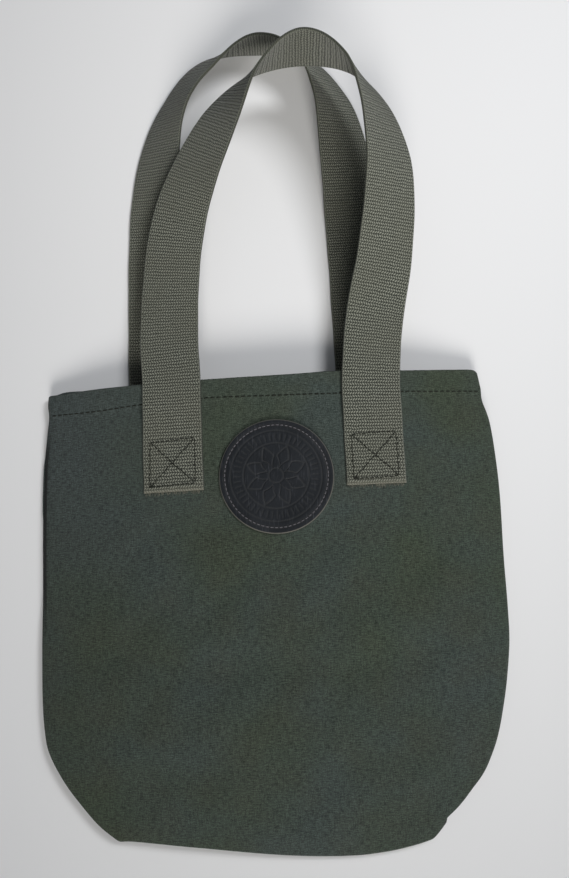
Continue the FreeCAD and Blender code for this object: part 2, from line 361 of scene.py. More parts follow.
def add_mesh(name, points, faces, cloth, material, weld=False):
    """A mesh piece from points in millimetres, with its own cloth coordinates at every point."""
    mesh = bpy.data.meshes.new(name)
    mesh.from_pydata(to_frame(points).tolist(), [], faces)
    attribute = mesh.attributes.new("cloth", "FLOAT_VECTOR", "POINT")
    attribute.data.foreach_set("vector", np.asarray(cloth, np.float32).ravel())
    work = bmesh.new()
    work.from_mesh(mesh)
    if weld:
        bmesh.ops.remove_doubles(work, verts=work.verts, dist=WELD)
    bmesh.ops.recalc_face_normals(work, faces=work.faces)
    for face in work.faces:
        face.smooth = True
    work.to_mesh(mesh)
    work.free()
    mesh.materials.append(material)
    piece = bpy.data.objects.new(name, mesh)
    bpy.context.scene.collection.objects.link(piece)
    return piece


def grid_faces(rows, columns, start=0, around=False):
    """Faces of a grid of points, row by row; around closes each row into a ring."""
    faces = []
    for row in range(rows - 1):
        for column in range(columns if around else columns - 1):
            after = (column + 1) % columns
            low = start + row * columns
            high = low + columns
            faces.append((low + column, low + after, high + after, high + column))
    return faces


def tube_faces(rows, sides, start=0):
    """Faces of a closed tube: rings of points with a cap on the first and the last one."""
    faces = grid_faces(rows, sides, start, True)
    last = start + (rows - 1) * sides
    faces.append(tuple(start + k for k in range(sides))[::-1])
    faces.append(tuple(last + k for k in range(sides)))
    return faces


def lengths_along(points):
    """Length of a line up to each of its points."""
    return np.concatenate([[0], np.cumsum(np.linalg.norm(np.diff(points, axis=0), axis=1))])


def sampled(values, length, wanted):
    """Values given along a line of those lengths, at the wanted lengths."""
    return np.stack([np.interp(wanted, length, column) for column in values.T], axis=1)


def between(a, b, c, d, t):
    """Smooth curve that runs from b at t = 0 to c at t = 1, with a before it and d after it."""
    return b + 0.5 * t * (c - a + t * (2 * a - 5 * b + 4 * c - d + t * (3 * (b - c) + d - a)))


OUTLINE_STEPS = 24              # points of a smooth outline for each given point
ROUTE_STEPS = 40                # the same for a handle's route


def smooth_line(points, fractions):
    """Points at the given fractions of the length of a smooth line through the given points."""
    points = np.array(points, float)
    padded = np.vstack([2 * points[0] - points[1], points, 2 * points[-1] - points[-2]])
    dense = []
    for i in range(len(points) - 1):
        for t in np.arange(OUTLINE_STEPS) / OUTLINE_STEPS:
            dense.append(between(*padded[i:i + 4], t))
    dense = np.array(dense + [points[-1]])
    length = lengths_along(dense)
    return sampled(dense, length, np.asarray(fractions) * length[-1])


def ease(value, low, high):
    """0 below low, 1 above high and a smooth step between them."""
    t = np.clip((np.asarray(value, float) - low) / (high - low), 0, 1)
    return t * t * (3 - 2 * t)


def unit(vectors):
    return vectors / np.maximum(np.linalg.norm(vectors, axis=-1, keepdims=True), 1e-9)


# ---- the bag's surfaces ---------------------------------------------------------------------------------
# The outline and the hem line are (x, y) points. MIDDLE_HEIGHT is (y, height) along the front's middle.
LEFT_SIDE = ((-95.0, -275.8), (-107.8, -265.6), (-118.8, -253.6), (-128.6, -241.2), (-137.4, -226.0),
             (-140.6, -214.0), (-142.7, -193.0), (-144.0, -152.0), (-145.2, -118.0), (-146.0, -85.0),
             (-146.0, -50.0), (-143.7, -28.0), (-142.8, -17.0), (-143.6, -10.0), (-143.4, -4.0))
RIGHT_SIDE = ((90.6, -281.0), (95.4, -276.7), (100.4, -271.9), (100.6, -269.6), (103.0, -267.6),
              (111.8, -260.4), (121.8, -248.8), (129.3, -236.0), (134.6, -224.0), (139.3, -208.0),
              (143.1, -191.5), (146.6, -170.0), (147.6, -148.0), (148.0, -118.0), (149.2, -82.0),
              (148.8, -57.0), (147.0, -33.0), (143.4, -19.0), (142.9, -11.0), (141.6, -1.4))
BOTTOM = ((-95.0, -275.8), (-83.0, -276.1), (-47.0, -280.4), (2.0, -286.4), (38.0, -288.2),
          (61.0, -287.0), (79.0, -284.0), (90.6, -281.0))
FRONT_MOUTH = ((-143.4, -4.0), (-139.0, -3.9), (-133.5, -3.7), (-126.0, -3.2), (-115.0, -2.5),
               (-104.0, -1.9), (-88.0, -1.4), (-43.0, 0.0), (17.0, 1.3), (50.0, 2.6),
               (90.0, 1.9), (125.0, 2.4), (136.5, 2.6), (140.4, 1.2), (141.6, -1.4))
BACK_MOUTH = ((-143.4, -4.0), (-138.5, -2.5), (-133.5, -0.9), (-126.0, -0.4), (-108.0, -0.3),
              (0.0, 1.0), (100.0, 1.8), (136.0, 2.4), (140.4, 1.0), (141.6, -1.4))
HEM_LINE = ((-142.0, -16.9), (-109.0, -16.2), (-84.0, -14.0), (-38.0, -11.6), (17.0, -11.6),
            (90.0, -11.5), (142.0, -11.4))
MIDDLE_HEIGHT = ((-287, 6.6), (-284, 7.8), (-280, 9.3), (-275, 11.3), (-262, 14.3), (-245, 17.3),
                 (-226, 19.8), (-212, 20.8), (-190, 21.8), (-160, 22.1), (-112, 21.3), (-78, 20.6),
                 (-60, 20.0), (-35, 19.8), (-15, 19.8), (10, 19.8))
ROLL = 3.3                      # plan width of the rolled side and bottom folds
FLANK = 4.4                     # plan width of the straight flanks
FLANK_DROP = 1.8                # how much lower the panels meet along a straight flank
SEAM_DEPTH = 0.45               # how far the seam between the panels is pulled in
GRID_WIDTH = 288.0
GRID_LENGTH = 283.0
GRID_STEP = 2.6
ROLL_ANGLES = np.radians([0, 7, 11, 15, 19, 23, 27, 35, 45, 57, 72, 90])


def edge_steps(first_step, last_step, length):
    """Distances that grow from a fine first step to a coarse last one."""
    values = [0.0]
    step = first_step
    while values[-1] < length:
        values.append(values[-1] + step)
        step = min(step * 1.35, last_step)
    return values


def roll_spacing(length, step, roll_at_end):
    """Positions along a side: fine in the fold at its start and in the fold or hem at its end."""
    roll = (ROLL * (1 - np.cos(ROLL_ANGLES))).tolist()
    start = roll + [roll[-1] + value for value in edge_steps(1.4, step, 8.0)[1:]]
    end = start if roll_at_end else edge_steps(0.45, 1.0, 22.0)
    middle_count = max(2, round((length - end[-1] - start[-1]) / step))
    middle = np.linspace(start[-1], length - end[-1], middle_count)
    positions = np.concatenate([start[:-1], middle, length - np.array(end[::-1][1:])])
    angles = np.full(len(positions), math.pi / 2)
    angles[:len(roll)] = ROLL_ANGLES
    if roll_at_end:
        angles[-len(roll):] = ROLL_ANGLES[::-1]
    return positions / length, angles


ACROSS, ACROSS_ANGLE = roll_spacing(GRID_WIDTH, GRID_STEP, True)
ALONG, ALONG_ANGLE = roll_spacing(GRID_LENGTH, GRID_STEP, False)
FLANK_SHARE = np.minimum(np.minimum(ACROSS, 1 - ACROSS) * GRID_WIDTH / FLANK, 1)


def patch_between(top):
    """Plan grid of the bag's outline below the given mouth edge, rows from the bottom fold to the mouth."""
    left = smooth_line(LEFT_SIDE, ALONG)[:, None]
    right = smooth_line(RIGHT_SIDE, ALONG)[:, None]
    low = smooth_line(BOTTOM, ACROSS)[None]
    high = smooth_line(top, ACROSS)[None]
    u = ACROSS[None, :, None]
    v = ALONG[:, None, None]
    ruled = (1 - v) * low + v * high + (1 - u) * left + u * right
    low_corners = (1 - u) * low[:, :1] + u * low[:, -1:]
    high_corners = (1 - u) * high[:, :1] + u * high[:, -1:]
    return ruled - ((1 - v) * low_corners + v * high_corners)


side_samples = np.linspace(0, 1, 200)
left_line = smooth_line(LEFT_SIDE, side_samples)
right_line = smooth_line(RIGHT_SIDE, side_samples)
hem_samples = smooth_line(HEM_LINE, np.linspace(0, 1, 80))
middle_rows = np.array(MIDDLE_HEIGHT, float)


def hem_y(x):
    """The y of the hem's stitching line at x."""
    return np.interp(x, hem_samples[:, 0], hem_samples[:, 1])


def folds(x, y):
    """Soft unevenness of a bag that has been folded and used: a few broad creases and gentle waves."""
    # an arched crease across the middle with a soft ridge above it
    crease_y = -164 - 16 * np.cos(np.clip((x - 10) / 150, -1, 1) * math.pi / 2)
    height = -0.9 * np.exp(-((y - crease_y) / 9) ** 2)
    height += 0.5 * np.exp(-((y - crease_y - 20) / 12) ** 2)
    # a shorter crease low down
    low_crease = -236 + 0.05 * x
    height += -0.7 * np.exp(-((y - low_crease) / 10) ** 2) * ease(-np.abs(x + 10), -120, -70)
    # an upright hollow on the right
    right_fold = 96 + 0.12 * (y + 120)
    height += -0.6 * np.exp(-((x - right_fold) / 11) ** 2) * ease(y, -235, -190) * ease(-y, 40, 80)
    # gentle waves: direction, length and size
    waves = ((0.9, 0.35, 61, 0.35), (-0.5, 1.0, 47, 0.30), (1.0, -0.8, 37, 0.22), (0.25, 1.0, 83, 0.35),
             (1.0, 0.1, 29, 0.12), (-0.7, 0.9, 23, 0.10))
    for i, (a, b, length, size) in enumerate(waves):
        height += size * np.sin((a * x + b * y) * 2 * math.pi / length + 1.7 * i + 0.6 * np.sin(x / 40 + i))
    return height


def front_height(x, y):
    """Height of the front panel's outer face."""
    left = np.interp(y, left_line[:, 1], left_line[:, 0])
    right = np.interp(y, right_line[:, 1], right_line[:, 0])
    half = (right - left) / 2
    across = np.clip(np.abs(x - (left + right) / 2) / half, 0, 1)
    middle = np.interp(y, middle_rows[:, 0], middle_rows[:, 1])
    top_edge = np.minimum(TOP_EDGE, 5.2 + (y + 287) * 0.12)
    height = top_edge + (middle - top_edge) * (1 - across ** 2.5)
    calm = ease(1 - across, 0.02, 0.3) * ease(y, -285, -262)
    height += folds(x, y) * calm * (0.35 + 0.65 * ease(-y, 60, 105))
    # the hem is thicker, and its stitches pull a groove along its lower edge
    below_hem = hem_y(x) - y
    height += 0.70 * (1 - ease(below_hem, 0.3, 2.2))
    height -= 0.45 * np.exp(-(below_hem / 0.9) ** 2)
    return height


def back_height(y):
    """Height of the back panel's outer face, which lies on the floor and on its handle tabs."""
    return FLOOR_GAP + STEP_HEIGHT * ease(y, *STEP_SPAN)


def slope_share(x, y):
    """Where the side folds fall away in a straight flank instead of rolling under."""
    left = ease(y, -165, -120) * ease(-y, 22, 50) * (x < 0)
    right = ease(y, -281, -270) * ease(-y, 240, 256) * (x > 60)
    return np.maximum(left, right)


def skin(top, is_front):
    """Outer face of one side of the bag as a grid of points."""
    plan = patch_between(top)
    x = plan[..., 0]
    y = plan[..., 1]
    from_sides = np.sin(ACROSS_ANGLE)[None, :]
    from_bottom = np.sin(ALONG_ANGLE)[:, None]
    straight = slope_share(x, y)
    edge = EDGE - FLANK_DROP * straight
    if is_front:
        lift = from_sides * (1 - straight) + FLANK_SHARE[None, :] * straight
        z = edge + (front_height(x, y) - edge) * (lift * from_bottom)
    else:
        z = edge + (back_height(y) - edge) * from_sides * from_bottom
    return np.stack([x, y, z], axis=-1)


def grid_normals(points, flip):
    across = np.gradient(points, axis=1)
    along = np.gradient(points, axis=0)
    normals = unit(np.cross(across, along))
    return -normals if flip else normals


def seam_groove(points):
    """Pulls the outermost line inwards, where the two panels meet in their seam."""
    centre = np.array([*BAG_CENTRE, 0.0])
    for line in (points[:, 0], points[:, -1], points[0]):
        inward = centre - line
        inward[:, 2] = 0
        line += unit(inward) * SEAM_DEPTH


def build_canvas():
    """The whole cloth bag: both outer faces, the rolled hems and both inner faces, as one closed shell."""
    front = skin(FRONT_MOUTH, True)
    back = skin(BACK_MOUTH, False)
    front_normals = grid_normals(front, False)
    back_normals = grid_normals(back, True)
    for one in (front, back):
        seam_groove(one)
    for line in (np.s_[:, 0], np.s_[:, -1], np.s_[0, :]):
        back[line] = front[line] = (front[line] + back[line]) / 2
        shared = unit(front_normals[line] + back_normals[line])
        front_normals[line] = back_normals[line] = shared
    points, cloth, faces = [], [], []
    columns = len(ACROSS)
    for outer, normals in ((front, front_normals), (back, back_normals)):
        depth = hem_y(outer[..., 0]) - 2.0 - outer[..., 1]
        thickness = CANVAS + (HEM - CANVAS) * (depth < 0)
        inner = outer - normals * thickness[..., None]
        ahead = unit(outer[-1] - outer[-3])
        rim = []
        for angle in np.radians([30, 60, 90, 120, 150]):
            out = ahead * HEM / 2 * math.sin(angle)
            rim.append(outer[-1] + out - normals[-1] * HEM / 2 * (1 - math.cos(angle)))
        rows = np.concatenate([outer, np.array(rim), inner[::-1]])
        start = sum(len(p) for p in points)
        points.append(rows.reshape(-1, 3))
        rubbed_fold = np.exp(-((ACROSS_ANGLE - 1.2) / 0.25) ** 2)
        wear_and_painted_light = np.tile(0.20 * rubbed_fold, (len(rows), 1))
        wear_and_painted_light[len(outer) - 2:len(outer) + 4] = 0.22
        if outer is front:
            # painted shade on the steep flanks of the front
            painted_shade = slope_share(outer[..., 0], outer[..., 1]) * (FLANK_SHARE < 0.9)[None, :]
            wear_and_painted_light[:len(outer)] -= 1.1 * painted_shade
        else:
            # painted shade along the back hem's rim at the mouth's left end, where the gap behind the front
            # edge lies
            left_end = 1 - ease(outer[-1, :, 0], -112, -100)
            wear_and_painted_light[len(outer) - 1:len(outer) + 4] -= 0.9 * left_end[None, :]
        place = np.stack([rows[..., 0], rows[..., 1], wear_and_painted_light], axis=-1)
        cloth.append(place.reshape(-1, 3))
        faces += grid_faces(len(rows), columns, start)
    piece = add_mesh("bag_canvas", np.concatenate(points), faces, np.concatenate(cloth),
                     CANVAS_LOOK, True)
    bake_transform(piece)
    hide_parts("front_panel", "back_panel", "front_hem_facing", "back_hem_facing")


# ---- stitches -------------------------------------------------------------------------------------------
STITCH_STEPS = 9
STITCH_SIDES = 8
HEM_STITCH = (3.1, 0.8, 0.34)           # length, gap and thread radius
BOX_STITCHING = (3.0, 0.25, 0.30)
KNOT_STITCH = (3.4, 0.4, 0.42)
PATCH_STITCH = (2.1, 0.75, 0.33)


def stitch_run(points, ups, stitch, gap, radius, sink=0.35):
    """Separate stitches along a line: (points, faces, cloth) of arched threads that dive at both ends."""
    length = lengths_along(points)
    count = max(1, int(round((length[-1] + gap) / (stitch + gap))))
    pitch = (length[-1] + gap) / count
    made_points, made_faces, made_cloth = [], [], []
    steps = np.linspace(0, 1, STITCH_STEPS)
    ring = np.linspace(0, 2 * math.pi, STITCH_SIDES, endpoint=False)
    for number in range(count):
        at = number * pitch + steps * (pitch - gap)
        middle = sampled(points, length, at)
        up = unit(sampled(ups, length, at))
        ahead = unit(np.gradient(middle, axis=0))
        side = unit(np.cross(ahead, up))
        arch = np.sin(math.pi * steps)
        size = radius * (0.35 + 0.65 * np.minimum(1, arch * 1.8))
        middle = middle + up * ((arch ** 0.6) * sink - sink + 0.25 * radius)[:, None]
        start = len(made_points)
        for i in range(STITCH_STEPS):
            for angle in ring:
                out = side[i] * math.cos(angle) + up[i] * math.sin(angle)
                made_points.append(middle[i] + out * size[i])
                made_cloth.append((at[i], angle, 0.0))
        made_faces += tube_faces(STITCH_STEPS, STITCH_SIDES, start)
    return made_points, made_faces, made_cloth


def stitch_piece(name, runs, material):
    """Joins several runs of stitches into one piece."""
    points, faces, cloth = [], [], []
    for run_points, run_faces, run_cloth in runs:
        start = len(points)
        points += run_points
        cloth += run_cloth
        faces += [tuple(start + k for k in face) for face in run_faces]
    return add_mesh(name, points, faces, cloth, material)


def on_front(x, y, above):
    """Points over the front panel's outer face and the directions away from it."""
    x = np.asarray(x, float)
    y = np.asarray(y, float)
    z = front_height(x, y)
    step = 1.5
    slope_x = (front_height(x + step, y) - front_height(x - step, y)) / (2 * step)
    slope_y = (front_height(x, y + step) - front_height(x, y - step)) / (2 * step)
    ups = unit(np.stack([-slope_x, -slope_y, np.ones_like(z)], axis=-1))
    return np.stack([x, y, z], axis=-1) + ups * above, ups


def build_hem_stitches():
    """One row of stitches on each face of both hems."""
    x = np.linspace(-139.5, 140.5, 300)
    outside, ups = on_front(x, hem_y(x), 0.25)
    x_in = np.linspace(-134, 135, 280)
    inside, inside_ups = on_front(x_in, hem_y(x_in), -HEM - 0.1)
    front = stitch_piece("front_hem_stitches", [stitch_run(outside, ups, *HEM_STITCH),
                                                stitch_run(inside, -inside_ups, *HEM_STITCH)],
                         DARK_THREAD)
    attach(front, "bag_front")
    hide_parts("front_hem_stitching")
    z = back_height(hem_y(x_in))
    up = np.tile([0.0, 0.0, 1.0], (len(x_in), 1))
    under = np.stack([x_in, hem_y(x_in), z - 0.02], axis=1)
    over = np.stack([x_in, hem_y(x_in), z + HEM - 0.05], axis=1)
    back = stitch_piece("back_hem_stitches", [stitch_run(under, -up, *HEM_STITCH),
                                              stitch_run(over, up, *HEM_STITCH)],
                        DARK_THREAD)
    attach(back, "bag_back")
    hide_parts("back_hem_stitching")


# ---- webbing handles ------------------------------------------------------------------------------------
# Each row is the middle of the strap, its heading in plan and its tilt about its own length, in degrees.
FRONT_ROUTE = (
    ((-58.4, -70.8, 20.0), 1, 3),
    ((-58.7, -53.0, 20.1), 0.5, 3),
    ((-58.8, -36.7, 20.2), 0, 3),
    ((-59.3, 2.0, 20.2), 0, 3),
    ((-60.5, 38.0, 18.5), -2, 3),
    ((-58.5, 74.0, 18.5), -7, 5),
    ((-53.0, 108.0, 23.0), -18, 9),
    ((-40.0, 140.0, 32.5), -32, 19),
    ((-21.0, 171.0, 43.5), -43, 34),
    ((1.0, 197.0, 51.0), -60, 61),
    ((32.0, 211.0, 53.5), -84, 83),
    ((62.0, 200.0, 52.5), -118, 67),
    ((78.6, 174.0, 49.0), -152, 49),
    ((86.0, 140.0, 45.0), -166, 33),
    ((85.4, 105.0, 37.5), -175, 21),
    ((80.4, 70.0, 28.5), -181, 12),
    ((73.4, 36.0, 22.0), -182, 5),
    ((69.4, 2.0, 19.7), -180, 4),
    ((68.6, -36.7, 19.7), -180, 4),
    ((68.6, -53.0, 19.7), -180, 4),
    ((68.8, -70.8, 19.7), -180, 4),
)
BACK_ROUTE = (
    ((-72.0, -70.8, 1.1), 0, 0),
    ((-72.0, -31.0, 1.1), 0, 0),
    ((-72.0, 8.6, 1.2), 0, 0),
    ((-72.4, 48.0, 1.4), -1, 0),
    ((-72.3, 89.0, 1.8), -3, 1),
    ((-71.0, 129.0, 6.0), -8, 13),
    ((-67.0, 168.0, 12.5), -18, 33),
    ((-55.5, 203.0, 16.0), -34, 45),
    ((-33.0, 233.0, 15.5), -52, 46),
    ((3.0, 245.0, 18.4), -88, 69),
    ((36.0, 236.0, 16.8), -122, 57),
    ((54.5, 205.0, 13.6), -153, 40),
    ((62.0, 167.0, 7.5), -167, 18),
    ((65.0, 127.0, 2.2), -175, 3),
    ((66.0, 87.0, 1.4), -178, 0),
    ((66.7, 48.0, 1.4), -179, 0),
    ((67.0, 8.6, 1.2), -180, 0),
    ((67.0, -31.0, 1.1), -180, 0),
    ((67.0, -70.8, 1.1), -180, 0),
)
ROW_STEP = 1.9                  # distance between the rings of points along a strap
FIBRES = 90                     # loose fibres at each cut end
FIBRE = 0.13                    # radius of one fibre
FIBRE_ROOT = 0.6                # how deep each starts inside the strap
FIBRE_SIDES = 5
FIBRE_STEPS = 5


def strap_frames(route, step):
    """Middle line, across and face directions of a strap, evenly spaced along its route."""
    table = np.array([[*middle, heading, tilt] for middle, heading, tilt in route], float)
    positions = np.linspace(0, len(route) - 1, ROUTE_STEPS * (len(route) - 1) + 1)
    i = np.minimum(positions.astype(int), len(route) - 2)
    t = (positions - i)[:, None]
    before = table[np.maximum(i - 1, 0)]
    after = table[np.minimum(i + 2, len(route) - 1)]
    dense = between(before, table[i], table[i + 1], after, t)
    length = lengths_along(dense[:, :3])
    wanted = np.linspace(0, length[-1], round(length[-1] / step) + 1)
    rows = sampled(dense, length, wanted)
    heading = np.radians(rows[:, 3])
    tilt = np.radians(rows[:, 4])
    middle = rows[:, :3]
    flat = np.cos(tilt)
    across = np.stack([np.cos(heading) * flat, np.sin(heading) * flat, np.sin(tilt)], axis=1)
    ahead = unit(np.gradient(middle, axis=0))
    across = unit(across - ahead * np.sum(across * ahead, axis=1, keepdims=True))
    return wanted, middle, across, np.cross(across, ahead)


def webbing_section():
    """Closed cross-section of the webbing: (across, up) pairs with low ribs and rounded selvages."""
    half = WEBBING_WIDTH / 2
    rounding = 0.9
    selvage = 17.0
    samples = np.concatenate([np.linspace(-half + 0.35, -16.2, 7), np.linspace(-15.9, 15.9, 69),
                              np.linspace(16.2, half - 0.35, 7)])
    away = np.abs(samples)
    body = np.abs(np.sin(math.pi * samples / WEBBING_COLUMN)) ** 0.8
    border = np.abs(np.sin(math.pi * (away - selvage)))
    ribs = np.where(away > selvage, 0.10 * border + 0.02, 0.13 * body - 0.03)
    corner = np.sqrt(np.clip(1 - ((away - half + rounding) / rounding).clip(0) ** 2, 0, 1))
    top = (WEBBING / 2 - 0.10 + ribs) * (0.35 + 0.65 * corner)
    upper = list(zip(samples, top))
    lower = list(zip(samples, -top))
    return np.array(upper + [(half, 0.0)] + lower[::-1] + [(-half, 0.0)])


def frayed_end(centre, across, outward, up, seed):
    """Short loose fibres that stick out of a cut end: (points, faces, cloth)."""
    chance = np.random.default_rng(seed)
    points, faces, cloth = [], [], []
    ring = np.linspace(0, 2 * math.pi, FIBRE_SIDES, endpoint=False)
    steps = np.linspace(0, 1, FIBRE_STEPS)
    for _ in range(FIBRES):
        place = chance.uniform(-17.8, 17.8)
        level = chance.uniform(-0.35, 0.45)
        length = chance.uniform(0.9, 2.7)
        lean = chance.normal(0, 0.42)
        curl = chance.normal(0, 0.5)
        base = centre + across * place + up * level - outward * FIBRE_ROOT
        reach = steps * (length + FIBRE_ROOT)
        sway = steps * lean + steps ** 2 * curl
        droop = steps ** 2 * (level + 0.3) * 0.8
        line = base + outward * reach[:, None] + across * sway[:, None] - up * droop[:, None]
        start = len(points)
        for step, middle in zip(steps, line):
            radius = FIBRE * (1 - 0.6 * step)
            for angle in ring:
                out = across * radius * math.cos(angle) + up * radius * math.sin(angle)
                points.append(middle + out)
                cloth.append((place, step * length, 0.75))
        faces += tube_faces(FIBRE_STEPS, FIBRE_SIDES, start)
    return points, faces, cloth


def build_strap(name, route, settle=None, frayed=False):
    """One length of webbing, paler at both cut ends, and with loose fibres there if it is frayed."""
    section = webbing_section()
    along, middle, across, face = strap_frames(route, ROW_STEP)
    wave = 0.22 * np.sin(along / 9.1 + 1.0) + 0.18 * np.sin(along / 5.3)
    rows = []
    for i in range(len(along)):
        s = section[:, 0] * (1 + 0.004 * math.sin(along[i] / 13)) + wave[i] * 0.5
        rows.append(middle[i] + across[i] * s[:, None] + face[i] * section[:, 1:2])
    rows = np.array(rows)
    if settle is not None:
        rows = settle(rows, section)
    ends = np.minimum(along, along[-1] - along)
    wear_and_painted_light = 0.80 * np.exp(-ends / 2.0)
    place = np.stack(np.broadcast_arrays(section[None, :, 0], along[:, None], wear_and_painted_light[:, None]), axis=-1)
    count = len(section)
    faces = grid_faces(len(rows), count, 0, True)
    right_edge = count // 2 - 1
    left_edge = count - 1
    for first in (0, (len(rows) - 1) * count):
        for k in range(right_edge - 1):
            opposite = left_edge - 1 - k
            faces.append((first + k, first + k + 1, first + opposite - 1, first + opposite))
        faces.append((first + left_edge, first, first + left_edge - 1))
        faces.append((first + right_edge - 1, first + right_edge, first + right_edge + 1))
    points = rows.reshape(-1, 3).tolist()
    cloth = place.reshape(-1, 3).tolist()
    if frayed:
        ahead = unit(np.gradient(middle, axis=0))
        for row, outward, seed in ((0, -ahead[0], 5), (-1, ahead[-1], 11)):
            centre = rows[row].mean(axis=0)
            more, more_faces, more_cloth = frayed_end(centre, across[row], outward, face[row], seed)
            faces += [tuple(len(points) + k for k in one) for one in more_faces]
            points += [tuple(point) for point in more]
            cloth += more_cloth
    return add_mesh(name, points, faces, cloth, WEBBING_LOOK)


def settle_on_front(rows, section):
    """Beds the sewn tabs on the front panel and lets them rise into the loop above their stitching."""
    y = rows[..., 1]
    bedded = rows.copy()
    bedded[..., 2] = front_height(rows[..., 0], y) + WEBBING / 2 - 0.1 + section[None, :, 1]
    share = (1 - ease(y, -42, -14))[..., None]
    return rows * (1 - share) + bedded * share


def build_handles():
    front = build_strap("front_webbing", FRONT_ROUTE, settle_on_front, True)
    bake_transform(front)
    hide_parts("front_handle_loop", "front_left_tab", "front_right_tab")
    back = build_strap("back_webbing", BACK_ROUTE)
    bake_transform(back)
    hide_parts("back_handle_loop", "back_left_tab", "back_right_tab")


def box_runs(centre_x, place, skew):
    """Stitch runs of one square with its cross; place(x, y) gives points and directions."""
    half = BOX_STITCH / 2
    middle = BOX_LOW + half
    corners = [(-half, -half), (-half, half), (half, half), (half, -half)]
    legs = [(0, 1), (1, 2), (2, 3), (3, 0), (0, 2), (1, 3)]
    runs = []
    for first, last in legs:
        t = np.linspace(0.02, 0.98, 24)
        x = centre_x + corners[first][0] * (1 - t) + corners[last][0] * t
        y = middle + corners[first][1] * (1 - t) + corners[last][1] * t
        y = y + skew * (x - centre_x) / half + 0.25 * np.sin(x * 0.9 + y * 0.7)
        x = x + 0.25 * np.sin(y * 0.8 + centre_x)
        points, ups = place(x, y)
        runs.append(stitch_run(points, ups, *BOX_STITCHING))
    knot_x = np.linspace(centre_x - half - 0.4, centre_x - half + 3.0, 8)
    for lift in (0.0, 0.5):
        points, ups = place(knot_x, np.full(8, middle - half - skew + 0.2 + lift))
        runs.append(stitch_run(points, ups, *KNOT_STITCH, 0.2))
    return runs


def build_box_stitches():
    def over_front(x, y):
        return on_front(x, y, WEBBING + 0.05)

    def under_back(x, y):
        down = np.tile([0.0, 0.0, -1.0], (len(x), 1))
        return np.stack([x, y, np.full(len(x), 0.42)], axis=1), down

    runs = box_runs(FRONT_TABS[0], over_front, 0.9) + box_runs(FRONT_TABS[1], over_front, 0.5)
    front = stitch_piece("front_tab_stitches", runs, DARK_THREAD)
    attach(front, "bag_front")
    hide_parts("front_tab_stitching")
    runs = box_runs(BACK_TABS[0], under_back, 0.3) + box_runs(BACK_TABS[1], under_back, -0.3)
    back = stitch_piece("back_tab_stitches", runs, DARK_THREAD)
    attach(back, "bag_back")
    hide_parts("back_tab_stitching")


# ---- leather patch --------------------------------------------------------------------------------------
PATCH_SEGMENTS = 288
PATCH_ROUNDING = 0.8            # radius of the upper rim
PRESSED = 0.34                  # depth of the deepest pressed lines


def patch_relief(radius, angle):
    """Plain pressed ornament: two fine rings, a border of short ticks and a ring of lozenges."""
    relief = -0.30 * np.exp(-((radius - PATCH_STITCH_RADIUS) / 0.9) ** 2)
    for ring in (28.6, 20.6):
        relief -= PRESSED * np.exp(-((radius - ring) / 0.40) ** 2)
    tick = np.maximum(0, np.cos(angle * 48)) ** 3
    relief -= 0.32 * tick * ease(radius, 21.8, 22.6) * (1 - ease(radius, 26.4, 27.2))
    petal = np.abs(((angle * 8 / (2 * math.pi)) % 1) - 0.5) * 2
    lozenge = petal * 5.2 + np.abs(radius - 12.5) * 0.62
    relief -= PRESSED * np.exp(-((lozenge - 4.2) / 0.5) ** 2)
    relief -= 0.32 * np.exp(-((radius - 4.6) / 0.45) ** 2)
    return relief


